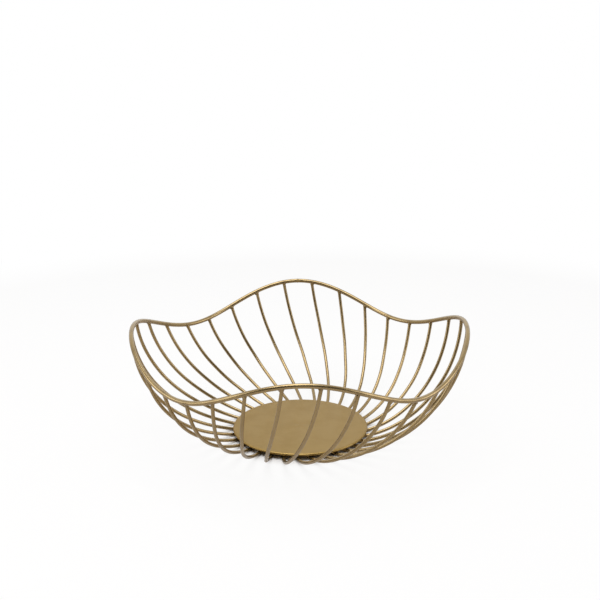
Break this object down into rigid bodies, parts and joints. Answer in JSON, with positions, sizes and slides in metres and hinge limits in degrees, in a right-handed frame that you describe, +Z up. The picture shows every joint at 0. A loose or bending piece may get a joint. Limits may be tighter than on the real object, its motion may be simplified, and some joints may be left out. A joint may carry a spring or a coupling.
{
  "type": "wire produce basket",
  "caption": "Open round wire bowl for produce: swirled ribs rise from a flat disc floor to a wavy rim, in satin gold paint.",
  "frame": {"origin": "on the table, under the centre of the floor disc", "axes": "+Z up; -Y towards the viewer at the front crest of the rim; +X to the right"},
  "size_m": [0.2995, 0.2997, 0.1053],
  "materials": {
    "gold_wire": "satin champagne-gold paint on drawn steel wire",
    "gold_sheet": "satin antique-gold paint on pressed steel sheet",
    "gold_weld": "the same paint over small weld beads, a little darker"
  },
  "bodies": {
    "root": {"rim_wire": "gold_wire", "base_disc": "gold_sheet", "rib_01": "gold_wire", "rib_02": "gold_wire", "rib_03": "gold_wire", "rib_04": "gold_wire", "rib_05": "gold_wire", "rib_06": "gold_wire", "rib_07": "gold_wire", "rib_08": "gold_wire", "rib_09": "gold_wire", "rib_10": "gold_wire", "rib_11": "gold_wire", "rib_12": "gold_wire", "rib_13": "gold_wire", "rib_14": "gold_wire", "rib_15": "gold_wire", "rib_16": "gold_wire", "rib_17": "gold_wire", "rib_18": "gold_wire", "rib_19": "gold_wire", "rib_20": "gold_wire", "rib_21": "gold_wire", "rib_22": "gold_wire", "rib_23": "gold_wire", "rib_24": "gold_wire", "rib_25": "gold_wire", "rib_26": "gold_wire", "rib_27": "gold_wire", "rib_28": "gold_wire", "rib_29": "gold_wire", "rib_30": "gold_wire", "rib_31": "gold_wire", "rib_32": "gold_wire", "rim_welds": "gold_weld", "foot_welds": "gold_weld", "rim_seam_weld": "gold_weld"}
  },
  "joints": []
}
